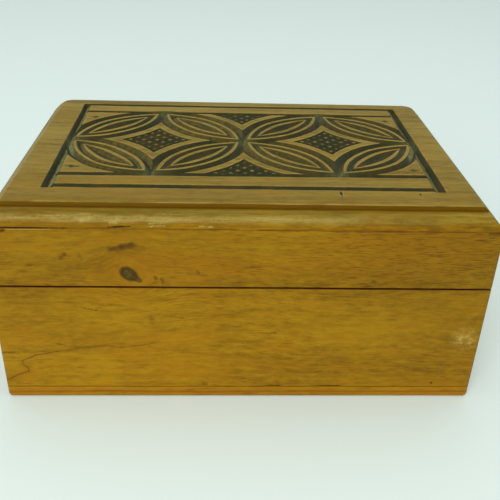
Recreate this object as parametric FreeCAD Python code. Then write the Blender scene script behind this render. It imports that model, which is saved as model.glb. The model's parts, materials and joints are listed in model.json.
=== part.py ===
import FreeCAD
import Part
import os
from FreeCAD import Vector

# Wooden puzzle box with a carved hinged lid, a sliding bottom board and a hidden lock bar.
# Millimetres. X runs along the front, Y from front to back, Z up from the table.
# The origin is the middle of the underside.

# Box
box_width = 180.0
box_depth = 125.0
wall_thickness = 9.0
rabbet_depth = 4.5          # cut into the inner side of the front and back walls at each end
corner_round = 0.9          # outer upright corners
base_top = 50.5             # upper edge of the base walls above the table
seam_gap = 0.5              # saw line between base and lid
lid_wall_height = 23.2

# Bottom board that slides to the right on two runners
bottom_thickness = 4.9
bottom_edge_round = 1.2
slide_gap = 0.3             # between the bottom board and the walls above it
slide_travel = 30.0
runner_end_gap = 1.0        # left to the end wall when the bottom board is fully out
runner_width = 6.0
runner_height = 6.6
runner_side_gap = 0.8       # between a runner and the wall beside it
tongue_height = 3.0
tongue_rise = 3.0           # from the bottom board up to the tongue
tongue_reach = 2.5          # how far the tongue enters the wall
tongue_clearance = 0.3
stop_clearance = 0.4        # end play of a tongue in its stopped groove
dowel_radius = 1.5
dowel_spacing = 35.0
dowel_depth = 3.4           # into the bottom board
dowel_rise = 4.1            # into the runner
dowel_clearance = 0.05

# Floor panel over the hidden space
hidden_space_height = 8.3   # from the bottom board up to the floor panel
floor_thickness = 4.0
floor_groove_depth = 3.0
floor_clearance = 0.2

# Liners round the inside of the base
liner_thickness = 4.0
lip_height = 4.0            # above the base walls
lip_relief = 0.5            # the lip stands back from the lid by this much
lip_relief_start = 0.4      # below the upper edge of the base walls

# Lock bar, its hooks and the keepers on the lid
channel_width = 5.5         # between the base front wall and the front liner
bar_thickness = 4.7
bar_front_gap = 0.4
bar_floor_gap = 0.3
bar_height = 19.9
bar_travel = 6.0
bar_end_gap = 2.0           # from the bar's left end to the left wall's inner face
bar_right_end = 12.0        # past the middle of the right keeper
hook_gap = 0.6              # clearance between hooks and keepers
hook_width = 7.0
hook_tenon = 8.0            # how far a hook is let into the bar
glue_gap = 0.05
hook_top_gap = 0.6          # below the upper edge of the base walls
keeper_end_inset = 50.0     # from the box's end to the middle of a keeper
keeper_width = 6.0
keeper_pin_radius = 1.0
keeper_pin_reach = 6.0      # how far the pin stands out of the keeper
keeper_pin_rise = 3.2       # from the keeper's lower end up to the pin's middle
keeper_front_gap = 1.1      # from the base front wall, because the lid swings the keeper forwards
keeper_thickness = 3.6
keeper_plate_height = 14.4  # the part that is screwed to the lid
keeper_plate_gap = 0.3      # above the lower edge of the lid wall
guide_width = 6.0
guide_height = 7.0
guide_gap = 0.4
guide_side_gap = 1.0        # from a keeper to the guide beside it

# Finger block under the floor
tab_width = 12.0
finger_block_depth = 12.0
finger_block_height = 5.6
finger_block_gap = 0.6      # under the floor panel
slot_clearance = 0.8
block_dowel_radius = 1.2
block_dowel_length = 10.0

# Top board
top_board_thickness = 6.8
step_height = 1.9
flat_inset = 6.3            # from the walls in to the raised flat
edge_radius = 4.6           # rounded edge below the step, front and back
edge_land = 0.2             # least straight face left below the rounded edges and the bevelled ends
locating_field_depth = 3.0  # raised underside that sits between the lid walls
locating_clearance = 0.3

# Carved panel on the top board
carve_margin_side = 11.0
carve_margin_front = 11.3
carve_margin_back = 8.0
side_gouge_width = 3.6
pattern_inset = 2.3         # from the panel's side to the outermost point of the circles
border_groove_width = 1.8
inner_groove_width = 2.0
least_band = 2.0            # narrowest plain band between the two grooves
gouge_inside = 2.2          # gouge beside each circle, on the petal's side
gouge_outside = 2.7         # and on the diamond's side
petal_groove_start = 3.5
petal_groove_end = 5.5
petal_centre_start = 6.8
diamond_border_end = 5.8
gouge_depth = 1.8
groove_depth = 1.2
recess_depth = 1.2

# Brass hinges at the back
hinge_end_inset = 38.0      # from the box's end to the middle of a hinge
hinge_length = 28.0
knuckle_count = 5
knuckle_radius = 1.9
knuckle_gap = 0.16
knuckle_room = 0.3
hinge_pin_radius = 0.9
hinge_bore_clearance = 0.05
pin_head_radius = 1.3
pin_head_height = 0.6
leaf_width = 8.0
leaf_thickness = 0.8
leaf_gap = 0.2              # between the two leaves when the lid is shut
leaf_clearance = 0.1
hinge_axis_inset = 0.18     # from the back face to the pin's axis; it sets where the lid stops

# Countersunk brass screws
screw_head_radius = 1.6
screw_head_height = 0.8
screw_radius = 0.8
screw_length = 7.0
screw_clearance = 0.05
screw_slot_width = 0.45
screw_slot_depth = 0.35
screw_sink = 0.05           # the head lies this far below the surface
hinge_screw_spacing = 18.0
hinge_screw_reach = 4.5     # from the pin's axis
keeper_screw_spacing = 5.0

cut_margin = 2.0            # how far a cutting block runs past the face it opens
same_place = 1e-6           # closer than this counts as the same place

# Places worked out from the sizes
half_width = box_width / 2
half_depth = box_depth / 2
inner_x = half_width - wall_thickness
inner_y = half_depth - wall_thickness
shoulder_y = inner_y + rabbet_depth
wall_bottom = bottom_thickness + slide_gap
lid_bottom = base_top + seam_gap
board_bottom = lid_bottom + lid_wall_height
board_top = board_bottom + top_board_thickness
ledge_top = board_top - step_height
floor_bottom = bottom_thickness + hidden_space_height
floor_top = floor_bottom + floor_thickness
lip_top = base_top + lip_height
liner_front_y = -inner_y + channel_width
bar_front_y = -inner_y + bar_front_gap
bar_back_y = bar_front_y + bar_thickness
bar_bottom = floor_top + bar_floor_gap
bar_top = bar_bottom + bar_height
bar_left = -inner_x + bar_end_gap
keeper_x = half_width - keeper_end_inset
bar_right = keeper_x + bar_right_end
hook_top = base_top - hook_top_gap
keeper_bottom = bar_top + hook_gap
pin_z = keeper_bottom + keeper_pin_rise
keeper_front_y = -inner_y + keeper_front_gap
keeper_back_y = keeper_front_y + keeper_thickness
keeper_plate_bottom = lid_bottom + keeper_plate_gap
keeper_plate_top = keeper_plate_bottom + keeper_plate_height
keeper_places = {"left": -keeper_x, "right": keeper_x}
block_top = floor_bottom - finger_block_gap
block_bottom = block_top - finger_block_height
runner_x = inner_x - slide_travel - runner_end_gap
runner_y = inner_y - runner_side_gap - runner_width / 2
tongue_bottom = bottom_thickness + tongue_rise
tongue_top = tongue_bottom + tongue_height
hinge_y = half_depth - hinge_axis_inset
hinge_z = base_top + seam_gap / 2
hinge_x = half_width - hinge_end_inset
hinge_places = {"left": -hinge_x, "right": hinge_x}
leaf_faces = {"base": hinge_z - leaf_gap / 2, "lid": hinge_z + leaf_gap / 2}
flat_x = half_width - flat_inset
flat_y = half_depth - flat_inset


def block(x0, x1, y0, y1, z0, z1):
    low = Vector(min(x0, x1), min(y0, y1), min(z0, z1))
    return Part.makeBox(abs(x1 - x0), abs(y1 - y0), abs(z1 - z0), low)


def rod(radius, start, end):
    way = Vector(*end) - Vector(*start)
    return Part.makeCylinder(radius, way.Length, Vector(*start), way)


def cut_all(shape, tools):
    for tool in tools:
        shape = shape.cut(tool)
    return shape


def save(name, shapes):
    shape = shapes[0] if len(shapes) == 1 else Part.makeCompound(shapes)
    shape.exportStep(os.path.join("parts", name + ".step"))


def upright_edges(shape):
    return [edge for edge in shape.Edges if abs(edge.Vertexes[0].Z - edge.Vertexes[-1].Z) > same_place]


def level_edges(shape, z):
    return [edge for edge in shape.Edges if all(abs(v.Z - z) < same_place for v in edge.Vertexes)]


def round_outer_corners(wall, side):
    face_y = side * half_depth
    corners = [edge for edge in upright_edges(wall) if abs(edge.CenterOfMass.y - face_y) < same_place]
    return wall.makeFillet(corner_round, corners)


# Countersunk screw, head at the start point
def screw_shape(start, way, extra):
    head = Part.makeCone(screw_head_radius + extra, screw_radius + extra, screw_head_height, start, way)
    shank = Part.makeCylinder(screw_radius + extra, screw_length + extra, start, way)
    return head.fuse(shank)


def screw(start, way):
    solid = screw_shape(start, way, 0.0)
    size = 2 * screw_head_radius
    slot = Part.makeBox(size, screw_slot_width, 2 * screw_slot_depth)
    slot.translate(Vector(-size / 2, -screw_slot_width / 2, -screw_slot_depth))
    slot.Placement = FreeCAD.Placement(start, FreeCAD.Rotation(Vector(0, 0, 1), way)).multiply(slot.Placement)
    return solid.cut(slot).removeSplitter()


def screw_hole(start, way):
    mouth = Part.makeCylinder(screw_head_radius + screw_clearance, screw_sink, start - way * screw_sink, way)
    return screw_shape(start, way, screw_clearance).fuse(mouth)


# Walls
def long_wall(side, z0, z1):
    wall = block(-half_width, half_width, side * inner_y, side * half_depth, z0, z1)
    for end in (-1, 1):
        rabbet = block(end * inner_x, end * (half_width + cut_margin), side * (inner_y - cut_margin),
                       side * shoulder_y, z0 - cut_margin, z1 + cut_margin)
        wall = wall.cut(rabbet)
    return round_outer_corners(wall, side)


def end_wall(side, z0, z1):
    return block(side * inner_x, side * half_width, -shoulder_y, shoulder_y, z0, z1)


def floor_groove_long(side):
    return block(-inner_x, inner_x, side * (inner_y - cut_margin), side * (inner_y + floor_groove_depth),
                 floor_bottom, floor_top)


def floor_groove_end(side):
    reach = inner_y + floor_groove_depth
    return block(side * (inner_x - cut_margin), side * (inner_x + floor_groove_depth), -reach, reach,
                 floor_bottom, floor_top)


def runner_groove(side):
    left = -runner_x - stop_clearance
    right = runner_x + slide_travel + stop_clearance
    reach = inner_y + tongue_reach + tongue_clearance
    return block(left, right, side * (inner_y - cut_margin), side * reach,
                 tongue_bottom - tongue_clearance, tongue_top + tongue_clearance)


# Hinges
def hinge_screw_starts(leaf):
    way = Vector(0, 0, -1) if leaf == "base" else Vector(0, 0, 1)
    starts = []
    for place in hinge_places.values():
        for side in (-1, 1):
            x = place + side * hinge_screw_spacing / 2
            starts.append(Vector(x, hinge_y - hinge_screw_reach, leaf_faces[leaf]) + way * screw_sink)
    return starts, way


def hinge_mortises(leaf):
    tools = []
    down = -1 if leaf == "base" else 1
    deep = leaf_faces[leaf] + down * (leaf_thickness + leaf_clearance)
    for place in hinge_places.values():
        half = hinge_length / 2 + leaf_clearance
        tools.append(block(place - half, place + half, hinge_y - leaf_width - leaf_clearance,
                           half_depth + cut_margin, deep, hinge_z - down * cut_margin))
        room = half + pin_head_height + leaf_clearance
        tools.append(rod(knuckle_radius + knuckle_room, (place - room, hinge_y, hinge_z),
                         (place + room, hinge_y, hinge_z)))
    starts, way = hinge_screw_starts(leaf)
    return tools + [screw_hole(start, way) for start in starts]


def hinge_leaf(place, leaf):
    down = -1 if leaf == "base" else 1
    face = leaf_faces[leaf]
    shape = block(place - hinge_length / 2, place + hinge_length / 2, hinge_y - leaf_width, hinge_y,
                  face, face + down * leaf_thickness)
    pitch = hinge_length / knuckle_count
    own = 0 if leaf == "base" else 1
    for i in range(knuckle_count):
        x0 = place - hinge_length / 2 + i * pitch
        x1 = x0 + pitch
        if i % 2 == own:
            barrel = rod(knuckle_radius, (x0 + knuckle_gap / 2, hinge_y, hinge_z),
                         (x1 - knuckle_gap / 2, hinge_y, hinge_z))
            shape = shape.fuse(barrel)
        else:
            room = rod(knuckle_radius + knuckle_room, (x0, hinge_y, hinge_z), (x1, hinge_y, hinge_z))
            shape = shape.cut(room)
    bore = rod(hinge_pin_radius + hinge_bore_clearance, (place - hinge_length, hinge_y, hinge_z),
               (place + hinge_length, hinge_y, hinge_z))
    starts, way = hinge_screw_starts(leaf)
    shape = cut_all(shape, [bore] + [screw_hole(start, way) for start in starts])
    return shape.removeSplitter()


def hinge_pin(place):
    half = hinge_length / 2
    shape = rod(hinge_pin_radius, (place - half, hinge_y, hinge_z), (place + half, hinge_y, hinge_z))
    for side in (-1, 1):
        head = rod(pin_head_radius, (place + side * half, hinge_y, hinge_z),
                   (place + side * (half + pin_head_height), hinge_y, hinge_z))
        shape = shape.fuse(head)
    return shape.removeSplitter()


# Base
def base_front_wall():
    wall = long_wall(-1, wall_bottom, base_top)
    return cut_all(wall, [floor_groove_long(-1), runner_groove(-1)])


def base_back_wall():
    wall = long_wall(1, wall_bottom, base_top)
    return cut_all(wall, [floor_groove_long(1), runner_groove(1)] + hinge_mortises("base"))


def base_end_wall(side):
    return end_wall(side, wall_bottom, base_top).cut(floor_groove_end(side))


def floor_panel():
    x = inner_x + floor_groove_depth - floor_clearance
    y = inner_y + floor_groove_depth - floor_clearance
    panel = block(-x, x, -y, y, floor_bottom + floor_clearance / 2, floor_top - floor_clearance / 2)
    slot = block(bar_left - slot_clearance, bar_left + tab_width + bar_travel + slot_clearance,
                 -inner_y, liner_front_y, floor_bottom - cut_margin, floor_top + cut_margin)
    return panel.cut(slot)


def liner_long(y0, y1, wall_side):
    strip = block(-inner_x, inner_x, y0, y1, floor_top, lip_top)
    start = base_top - lip_relief_start
    reliefs = []
    for end in (-1, 1):
        reliefs.append(block(end * (inner_x - lip_relief), end * (inner_x + cut_margin), y0 - cut_margin,
                             y1 + cut_margin, start, lip_top + cut_margin))
    if wall_side:
        reliefs.append(block(-half_width, half_width, wall_side * (inner_y - lip_relief),
                             wall_side * (inner_y + cut_margin), start, lip_top + cut_margin))
    return cut_all(strip, reliefs)


def liner_end(side):
    strip = block(side * (inner_x - liner_thickness), side * inner_x, liner_front_y + liner_thickness,
                  inner_y - liner_thickness, floor_top, lip_top)
    relief = block(side * (inner_x - lip_relief), side * (inner_x + cut_margin), -half_depth, half_depth,
                   base_top - lip_relief_start, lip_top + cut_margin)
    return strip.cut(relief)


def bar_guide(place):
    left = place + keeper_width / 2 + guide_side_gap
    low = bar_top + guide_gap
    return block(left, left + guide_width, -inner_y, liner_front_y, low, low + guide_height)


# Lock bar, with a hook let into its upper edge for each keeper
def hook_sides(place):
    lip_end = place - keeper_width / 2 - keeper_pin_reach - hook_gap
    lip_start = lip_end - bar_travel
    return lip_start - hook_width, lip_start, lip_end


def lock_hook(place):
    left, lip_start, lip_end = hook_sides(place)
    post = block(left, lip_start, bar_front_y, bar_back_y, bar_top - hook_tenon, hook_top)
    lip_bottom = pin_z + keeper_pin_radius + hook_gap
    lip = block(lip_start, lip_end, bar_front_y, bar_back_y, lip_bottom, hook_top)
    return post.fuse(lip).removeSplitter()


def lock_bar():
    slat = block(bar_left, bar_right, bar_front_y, bar_back_y, bar_bottom, bar_top)
    tab = block(bar_left, bar_left + tab_width, bar_front_y, bar_back_y, block_bottom, bar_bottom)
    cuts = [block_dowel(dowel_clearance)]
    for place in keeper_places.values():
        left, right, _ = hook_sides(place)
        notch = block(left - glue_gap, right + glue_gap, bar_front_y - cut_margin, bar_back_y + cut_margin,
                      bar_top - hook_tenon - glue_gap, bar_top + cut_margin)
        cuts.append(notch)
    return cut_all(slat.fuse(tab).removeSplitter(), cuts)


def block_dowel(extra):
    x = bar_left + tab_width / 2
    z = (block_top + block_bottom) / 2
    start = bar_back_y - bar_thickness / 2
    return rod(block_dowel_radius + extra, (x, start - extra, z), (x, start + block_dowel_length + extra, z))


def finger_block():
    shape = block(bar_left, bar_left + tab_width, bar_back_y, bar_back_y + finger_block_depth,
                  block_bottom, block_top)
    return shape.cut(block_dowel(dowel_clearance))


# Lid
def keeper_screw_starts(place):
    way = Vector(0, -1, 0)
    middle = (keeper_plate_bottom + keeper_plate_top) / 2 + keeper_screw_spacing / 4
    starts = []
    for side in (-1, 1):
        starts.append(Vector(place, keeper_back_y - screw_sink, middle + side * keeper_screw_spacing / 2))
    return starts, way


def keeper(place):
    left = place - keeper_width / 2
    right = place + keeper_width / 2
    plate = block(left, right, -inner_y, keeper_back_y, keeper_plate_bottom, keeper_plate_top)
    stem = block(left, right, keeper_front_y, keeper_back_y, keeper_bottom, keeper_plate_bottom)
    starts, way = keeper_screw_starts(place)
    holes = [screw_hole(start, way) for start in starts] + [keeper_pin(place, dowel_clearance)]
    return cut_all(plate.fuse(stem).removeSplitter(), holes)


def keeper_pin(place, extra):
    left = place - keeper_width / 2 - keeper_pin_reach
    right = place + keeper_width / 2 + extra
    y = (keeper_front_y + keeper_back_y) / 2
    return rod(keeper_pin_radius + extra, (left, y, pin_z), (right, y, pin_z))


def lid_front_wall():
    holes = []
    for place in keeper_places.values():
        starts, way = keeper_screw_starts(place)
        holes += [screw_hole(start, way) for start in starts]
    return cut_all(long_wall(-1, lid_bottom, board_bottom), holes)


def lid_back_wall():
    return cut_all(long_wall(1, lid_bottom, board_bottom), hinge_mortises("lid"))


# Carved ornament: flat faces of the cuts, sunk into the top board
panel_x = flat_x - carve_margin_side
panel_front = -flat_y + carve_margin_front
panel_back = flat_y - carve_margin_back
pattern_y = (panel_front + panel_back) / 2
panel_half = (panel_back - panel_front) / 2
circle_radius = min((panel_x - pattern_inset) / 2,
                    panel_half - border_groove_width - inner_groove_width - least_band)
unit_places = (-circle_radius, circle_radius)
quarters = [(right, back) for right in (-1, 1) for back in (-1, 1)]


def disc(x, y, radius):
    ring = Part.makeCircle(radius, Vector(x, pattern_y + y, board_top))
    return Part.Face(Part.Wire(ring))


def sheet(x0, x1, y0, y1):
    corners = [Vector(x0, y0, board_top), Vector(x1, y0, board_top), Vector(x1, y1, board_top),
               Vector(x0, y1, board_top)]
    return Part.Face(Part.makePolygon(corners + corners[:1]))


def sink(face, depth):
    return face.extrude(Vector(0, 0, -depth))


def circle_gouges():
    reach = 2 * circle_radius
    window = sheet(-reach, reach, pattern_y - circle_radius, pattern_y + circle_radius)
    places = [(x, 0) for x in unit_places]
    for x in (-reach, 0, reach):
        places += [(x, -circle_radius), (x, circle_radius)]
    bands = []
    for x, y in places:
        band = disc(x, y, circle_radius + gouge_outside).cut(disc(x, y, circle_radius - gouge_inside))
        bands.append(sink(band.common(window), gouge_depth))
    return bands


def petal(x, right, back, start):
    radius = circle_radius - start
    return disc(x, 0, radius).common(disc(x + right * circle_radius, back * circle_radius, radius))


def petal_cuts():
    cuts = []
    for x in unit_places:
        for right, back in quarters:
            ring = petal(x, right, back, petal_groove_start).cut(petal(x, right, back, petal_groove_end))
            cuts.append(sink(ring, groove_depth))
            cuts.append(sink(petal(x, right, back, petal_centre_start), groove_depth))
    return cuts


def diamond_recesses():
    reach = circle_radius
    keep = circle_radius + diamond_border_end
    cuts = []
    for x in unit_places:
        face = sheet(x - reach, x + reach, pattern_y - reach, pattern_y + reach)
        for right, back in quarters:
            face = face.cut(disc(x + right * reach, back * reach, keep))
        cuts.append(sink(face, recess_depth))
    for back in (-1, 1):
        face = sheet(-reach, reach, pattern_y, pattern_y + back * reach)
        for x in unit_places:
            face = face.cut(disc(x, 0, keep))
        cuts.append(sink(face, recess_depth))
    return cuts


def frame_grooves():
    cuts = []
    for side in (-1, 1):
        edge = side * panel_x
        cuts.append(sink(sheet(edge - side * side_gouge_width, edge, panel_front, panel_back), gouge_depth))
    inner = panel_x - side_gouge_width
    for edge, way in ((panel_front, 1), (panel_back, -1)):
        cuts.append(sink(sheet(-inner, inner, edge, edge + way * border_groove_width), groove_depth))
    for way in (-1, 1):
        edge = pattern_y + way * circle_radius
        cuts.append(sink(sheet(-inner, inner, edge, edge + way * inner_groove_width), groove_depth))
    return cuts


def bevelled_outline():
    # seen from the front: the ends are planed off from the flat's edge down to the walls
    half = [(half_width, board_bottom), (half_width, board_bottom + edge_land), (flat_x, board_top)]
    corners = [Vector(x, -half_depth, z) for x, z in half]
    corners += [Vector(-x, -half_depth, z) for x, z in reversed(half)]
    return Part.Face(Part.makePolygon(corners + corners[:1])).extrude(Vector(0, 2 * half_depth, 0))


def top_board():
    blank = block(-half_width, half_width, -half_depth, half_depth, board_bottom, board_top)
    blank = blank.makeFillet(corner_round, upright_edges(blank))
    slab = block(-half_width, half_width, -half_depth, half_depth, board_bottom, ledge_top)
    long_edges = [edge for edge in level_edges(slab, ledge_top)
                  if abs(edge.Vertexes[0].X - edge.Vertexes[-1].X) > same_place]
    slab = slab.makeFillet(min(edge_radius, ledge_top - board_bottom - edge_land), long_edges)
    flat = block(-half_width, half_width, -flat_y, flat_y, ledge_top, board_top)
    moulded = slab.fuse(flat).common(bevelled_outline()).common(blank)
    field_x = inner_x - locating_clearance
    field_y = inner_y - locating_clearance
    field = block(-field_x, field_x, -field_y, field_y, board_bottom - locating_field_depth, board_bottom)
    board = moulded.fuse(field).removeSplitter()
    cuts = frame_grooves() + circle_gouges() + petal_cuts() + diamond_recesses()
    return cut_all(board, cuts)


# Sliding bottom
def runner(side):
    middle = side * runner_y
    body = block(-runner_x, runner_x, middle - runner_width / 2, middle + runner_width / 2, bottom_thickness,
                 bottom_thickness + runner_height)
    tongue = block(-runner_x, runner_x, middle, side * (inner_y + tongue_reach), tongue_bottom, tongue_top)
    return cut_all(body.fuse(tongue).removeSplitter(), dowels(side, dowel_clearance))


def dowels(side, extra):
    made = []
    for step in (-1, 0, 1):
        x = step * dowel_spacing
        low = bottom_thickness - dowel_depth - extra
        high = bottom_thickness + dowel_rise + extra
        made.append(rod(dowel_radius + extra, (x, side * runner_y, low), (x, side * runner_y, high)))
    return made


def bottom_board():
    board = block(-half_width, half_width, -half_depth, half_depth, 0, bottom_thickness)
    board = board.makeFillet(corner_round, upright_edges(board))
    board = board.makeFillet(bottom_edge_round, level_edges(board, 0.0))
    return cut_all(board, dowels(-1, dowel_clearance) + dowels(1, dowel_clearance))


def build():
    os.makedirs("parts", exist_ok=True)
    save("base_front_wall", [base_front_wall()])
    save("base_back_wall", [base_back_wall()])
    save("base_left_wall", [base_end_wall(-1)])
    save("base_right_wall", [base_end_wall(1)])
    save("floor_panel", [floor_panel()])
    save("liner_front", [liner_long(liner_front_y, liner_front_y + liner_thickness, 0)])
    save("liner_back", [liner_long(inner_y - liner_thickness, inner_y, 1)])
    save("liner_left", [liner_end(-1)])
    save("liner_right", [liner_end(1)])
    for name, place in keeper_places.items():
        save("bar_guide_" + name, [bar_guide(place)])
    save("lock_bar", [lock_bar()])
    for name, place in keeper_places.items():
        save("lock_hook_" + name, [lock_hook(place)])
    save("finger_block", [finger_block()])
    save("finger_block_dowel", [block_dowel(0.0)])
    save("lid_front_wall", [lid_front_wall()])
    save("lid_back_wall", [lid_back_wall()])
    save("lid_left_wall", [end_wall(-1, lid_bottom, board_bottom)])
    save("lid_right_wall", [end_wall(1, lid_bottom, board_bottom)])
    save("top_board", [top_board()])
    for name, place in keeper_places.items():
        save("keeper_" + name, [keeper(place)])
        save("keeper_pin_" + name, [keeper_pin(place, 0.0)])
    save("keeper_screws", [screw(s, way) for place in keeper_places.values()
                           for starts, way in [keeper_screw_starts(place)] for s in starts])
    for name, place in hinge_places.items():
        save("hinge_base_leaf_" + name, [hinge_leaf(place, "base")])
        save("hinge_lid_leaf_" + name, [hinge_leaf(place, "lid")])
        save("hinge_pin_" + name, [hinge_pin(place)])
    for leaf in ("base", "lid"):
        starts, way = hinge_screw_starts(leaf)
        save("hinge_" + leaf + "_screws", [screw(s, way) for s in starts])
    save("bottom_board", [bottom_board()])
    save("runner_front", [runner(-1)])
    save("runner_back", [runner(1)])
    save("runner_dowels", dowels(-1, 0.0) + dowels(1, 0.0))


build()
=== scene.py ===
import json
import math
import bmesh
import bpy
import numpy as np
from mathutils import Matrix, Vector, noise


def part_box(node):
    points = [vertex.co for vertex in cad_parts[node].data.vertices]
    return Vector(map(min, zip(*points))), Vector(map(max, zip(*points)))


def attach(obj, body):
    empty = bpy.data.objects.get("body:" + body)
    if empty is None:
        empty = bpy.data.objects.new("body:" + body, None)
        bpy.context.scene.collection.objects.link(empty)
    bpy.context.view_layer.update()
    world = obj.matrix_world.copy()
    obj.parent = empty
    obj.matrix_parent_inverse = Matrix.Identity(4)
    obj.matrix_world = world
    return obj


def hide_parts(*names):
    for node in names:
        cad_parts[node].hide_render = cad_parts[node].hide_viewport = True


# Wooden puzzle box with a carved lid. Metres, Z up, the box stands on the floor at Z = 0.
# The dictionaries give lengths in millimetres and colours as a picker shows them, 0 to 255.
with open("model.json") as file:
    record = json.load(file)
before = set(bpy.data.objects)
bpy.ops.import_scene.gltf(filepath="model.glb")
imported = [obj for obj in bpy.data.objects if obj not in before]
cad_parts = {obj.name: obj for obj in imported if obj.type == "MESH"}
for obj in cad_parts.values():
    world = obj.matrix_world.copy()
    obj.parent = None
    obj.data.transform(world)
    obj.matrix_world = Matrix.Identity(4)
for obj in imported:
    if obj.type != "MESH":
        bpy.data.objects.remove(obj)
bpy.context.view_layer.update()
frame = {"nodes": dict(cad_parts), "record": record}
mm = 0.001
print("frame loaded,", len(frame["nodes"]), "nodes")


def tone(red, green, blue):
    # a picker's colour turned into scene values
    parts = [channel / 255 for channel in (red, green, blue)]
    return tuple(c / 12.92 if c < 0.04045 else ((c + 0.055) / 1.055) ** 2.4 for c in parts) + (1.0,)


# Node helpers
def addNode(tree, kind, inputs=None, **settings):
    made = tree.nodes.new("ShaderNode" + kind)
    for name, value in settings.items():
        setattr(made, name, value)
    for name, value in (inputs or {}).items():
        if isinstance(value, bpy.types.NodeSocket):
            tree.links.new(value, made.inputs[name])
        else:
            made.inputs[name].default_value = value
    return made


def calc(tree, operation, first, second=0.0, clamp=False):
    return addNode(tree, "Math", {0: first, 1: second}, operation=operation, use_clamp=clamp).outputs[0]


def chain(tree, operation, amounts, clamp):
    # the last step alone is clamped
    result = amounts[0]
    for amount in amounts[1:-1]:
        result = calc(tree, operation, result, amount)
    return calc(tree, operation, result, amounts[-1], clamp)


def times(tree, *amounts, clamp=False):
    return chain(tree, "MULTIPLY", amounts, clamp)


def plus(tree, *amounts, clamp=False):
    return chain(tree, "ADD", amounts, clamp)


def fade(tree, value, start, end, low=0.0, high=1.0):
    # low at start, high at end, smooth between
    made = addNode(tree, "MapRange", {0: value, 1: start, 2: end, 3: low, 4: high},
                   interpolation_type="SMOOTHSTEP")
    return made.outputs[0]


def span(tree, value, low, high):
    # 0 to 1 becomes low to high
    return addNode(tree, "MapRange", {0: value, 3: low, 4: high}).outputs[0]


def mixed(tree, amount, first, second):
    return addNode(tree, "Mix", {0: amount, 6: first, 7: second}, data_type="RGBA").outputs[2]


def painted(tree, amount, colour, shade):
    # a picker's shade laid over a colour
    return mixed(tree, amount, colour, tone(*shade))


def brightened(tree, colour, value):
    return addNode(tree, "HueSaturation", {"Value": value, "Color": colour}).outputs[0]


def vectorCalc(tree, operation, first, second=(0, 0, 0), output=0):
    return addNode(tree, "VectorMath", {0: first, 1: second}, operation=operation).outputs[output]


def shifted(tree, vector, offset):
    return vectorCalc(tree, "ADD", vector, offset)


def scaled(tree, vector, factors):
    return vectorCalc(tree, "MULTIPLY", vector, factors)


def axesOf(tree, vector):
    return addNode(tree, "SeparateXYZ", {0: vector}).outputs


def joined(tree, x, y, z=0.0):
    return addNode(tree, "CombineXYZ", {0: x, 1: y, 2: z}).outputs[0]


def attribute(tree, name):
    return addNode(tree, "Attribute", attribute_name=name).outputs["Fac"]


def cloudy(tree, vector, factors, detail=2.0, roughness=0.5, offset=(0, 0, 0)):
    stretched = shifted(tree, scaled(tree, vector, factors), offset)
    made = addNode(tree, "TexNoise", {"Vector": stretched, "Scale": 1.0, "Detail": detail,
                                      "Roughness": roughness})
    return made.outputs[0]


def startGroup(name, inputs, outputs):
    tree = bpy.data.node_groups.new(name, "ShaderNodeTree")
    kinds = {"vector": "NodeSocketVector", "value": "NodeSocketFloat", "colour": "NodeSocketColor"}
    for label, kind in inputs:
        tree.interface.new_socket(label, in_out="INPUT", socket_type=kinds[kind])
    for label, kind in outputs:
        tree.interface.new_socket(label, in_out="OUTPUT", socket_type=kinds[kind])
    entry = tree.nodes.new("NodeGroupInput")
    leave = tree.nodes.new("NodeGroupOutput")
    return tree, entry.outputs, leave.inputs


def useGroup(tree, group, inputs):
    return addNode(tree, "Group", inputs, node_tree=group).outputs


def startMaterial(name, constants):
    material = bpy.data.materials.new(name)
    material.use_nodes = True
    shader = material.node_tree.nodes["Principled BSDF"]
    for label, value in constants.items():
        shader.inputs[label].default_value = value
    return material, material.node_tree, shader


def objectPlace(tree):
    # in millimetres
    return scaled(tree, addNode(tree, "TexCoord").outputs["Object"], (1000, 1000, 1000))


def raised(tree, shader, height, distance):
    bump = addNode(tree, "Bump", {"Height": height, "Distance": distance})
    tree.links.new(bump.outputs[0], shader.inputs["Normal"])


# Wood figure, drawn out along X. Each pattern: stretch, detail, roughness, where it is taken from
grain = {"bend": ((0.012, 0.022, 0.022), 1.0),
         "drift": ((0.020, 0.060, 0.060), 3.0, 0.55),
         "warmth": ((0.014, 0.055, 0.055), 2.0, 0.5, (31, 5, 12)),
         "band": ((0.007, 0.42, 0.42), 3.0, 0.6),
         "fibre": ((0.07, 2.4, 2.4), 2.0, 0.6),
         "mottle": ((0.17, 0.50, 0.50), 5.0, 0.7, (17, 2, 8)),
         "glow": ((0.07, 0.28, 0.28), 4.0, 0.65, (13, 21, 4)),
         "speck": ((0.17, 2.5, 2.5), 1.0, 0.5, (3, 17, 9)),
         "dense": ((0.016, 0.045, 0.045), 2.0, 0.5, (7, 3, 1)),
         "mostBend": 10.0, "driftShare": 0.55, "fibreShare": 0.42, "warmShare": 0.6, "glowShare": 0.55,
         "roughness": (0.38, 0.56)}


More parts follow.
